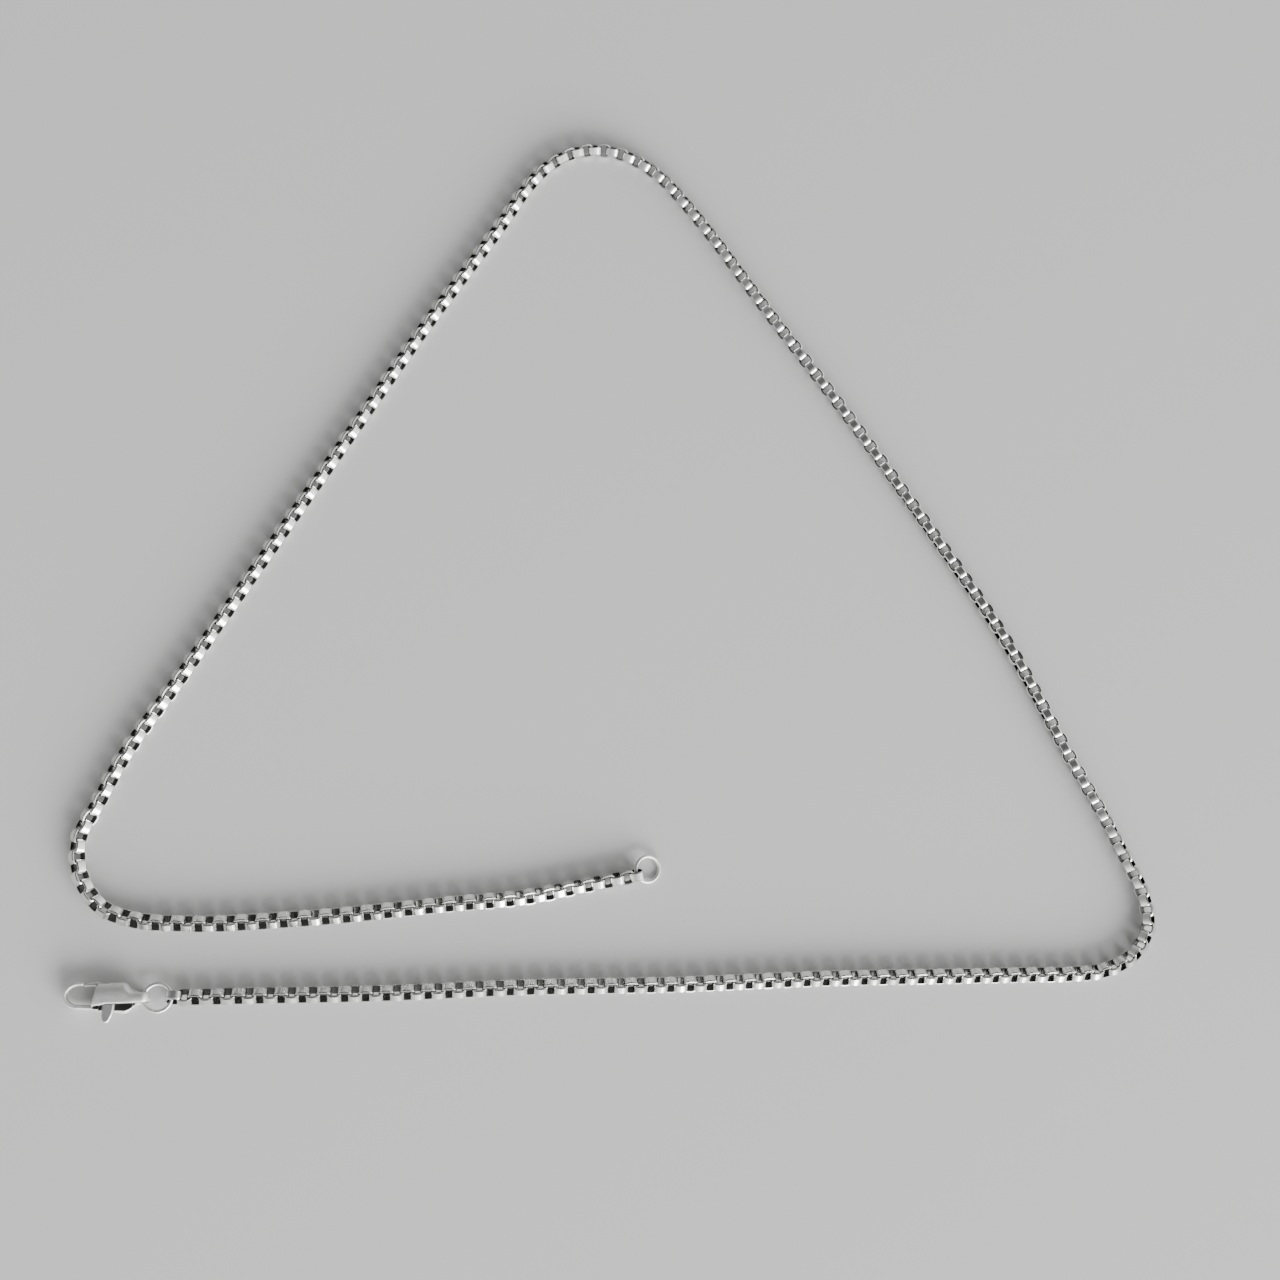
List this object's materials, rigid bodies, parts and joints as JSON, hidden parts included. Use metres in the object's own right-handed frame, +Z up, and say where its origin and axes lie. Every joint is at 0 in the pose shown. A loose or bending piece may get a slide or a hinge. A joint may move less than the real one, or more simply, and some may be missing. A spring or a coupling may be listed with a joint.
{
  "type": "box chain necklace",
  "caption": "Necklace of rounded steel box links with a plain ring at one end and a lobster clasp on a jump ring at the other, laid open on a surface.",
  "frame": {"origin": "middle of the laid necklace's bounding box, on the surface that it lies on", "axes": "+X along the straight leg from the clasp, +Y across the loop to its far corner, +Z up from the surface"},
  "size_m": [0.1757, 0.1507, 0.003],
  "materials": {
    "chain_steel": "polished",
    "ring_steel": "polished",
    "clasp_steel": "soft polish",
    "lever_steel": "soft polish"
  },
  "bodies": {
    "root": {"chain": "chain_steel", "clasp_end_link": "chain_steel", "ring_end_link": "chain_steel", "end_ring": "ring_steel", "clasp_ring": "ring_steel", "clasp_body": "clasp_steel", "clasp_pin": "clasp_steel"},
    "lever": {"clasp_lever": "lever_steel"}
  },
  "joints": [
    {"name": "lever_hinge", "type": "hinge", "parent": "root", "child": "lever", "pos_m": [-0.08068, -0.0712, 0.0015], "axis": [0, 0, 1], "range_deg": [0, 25], "stiffness_Nm_per_rad": 0.004}
  ]
}
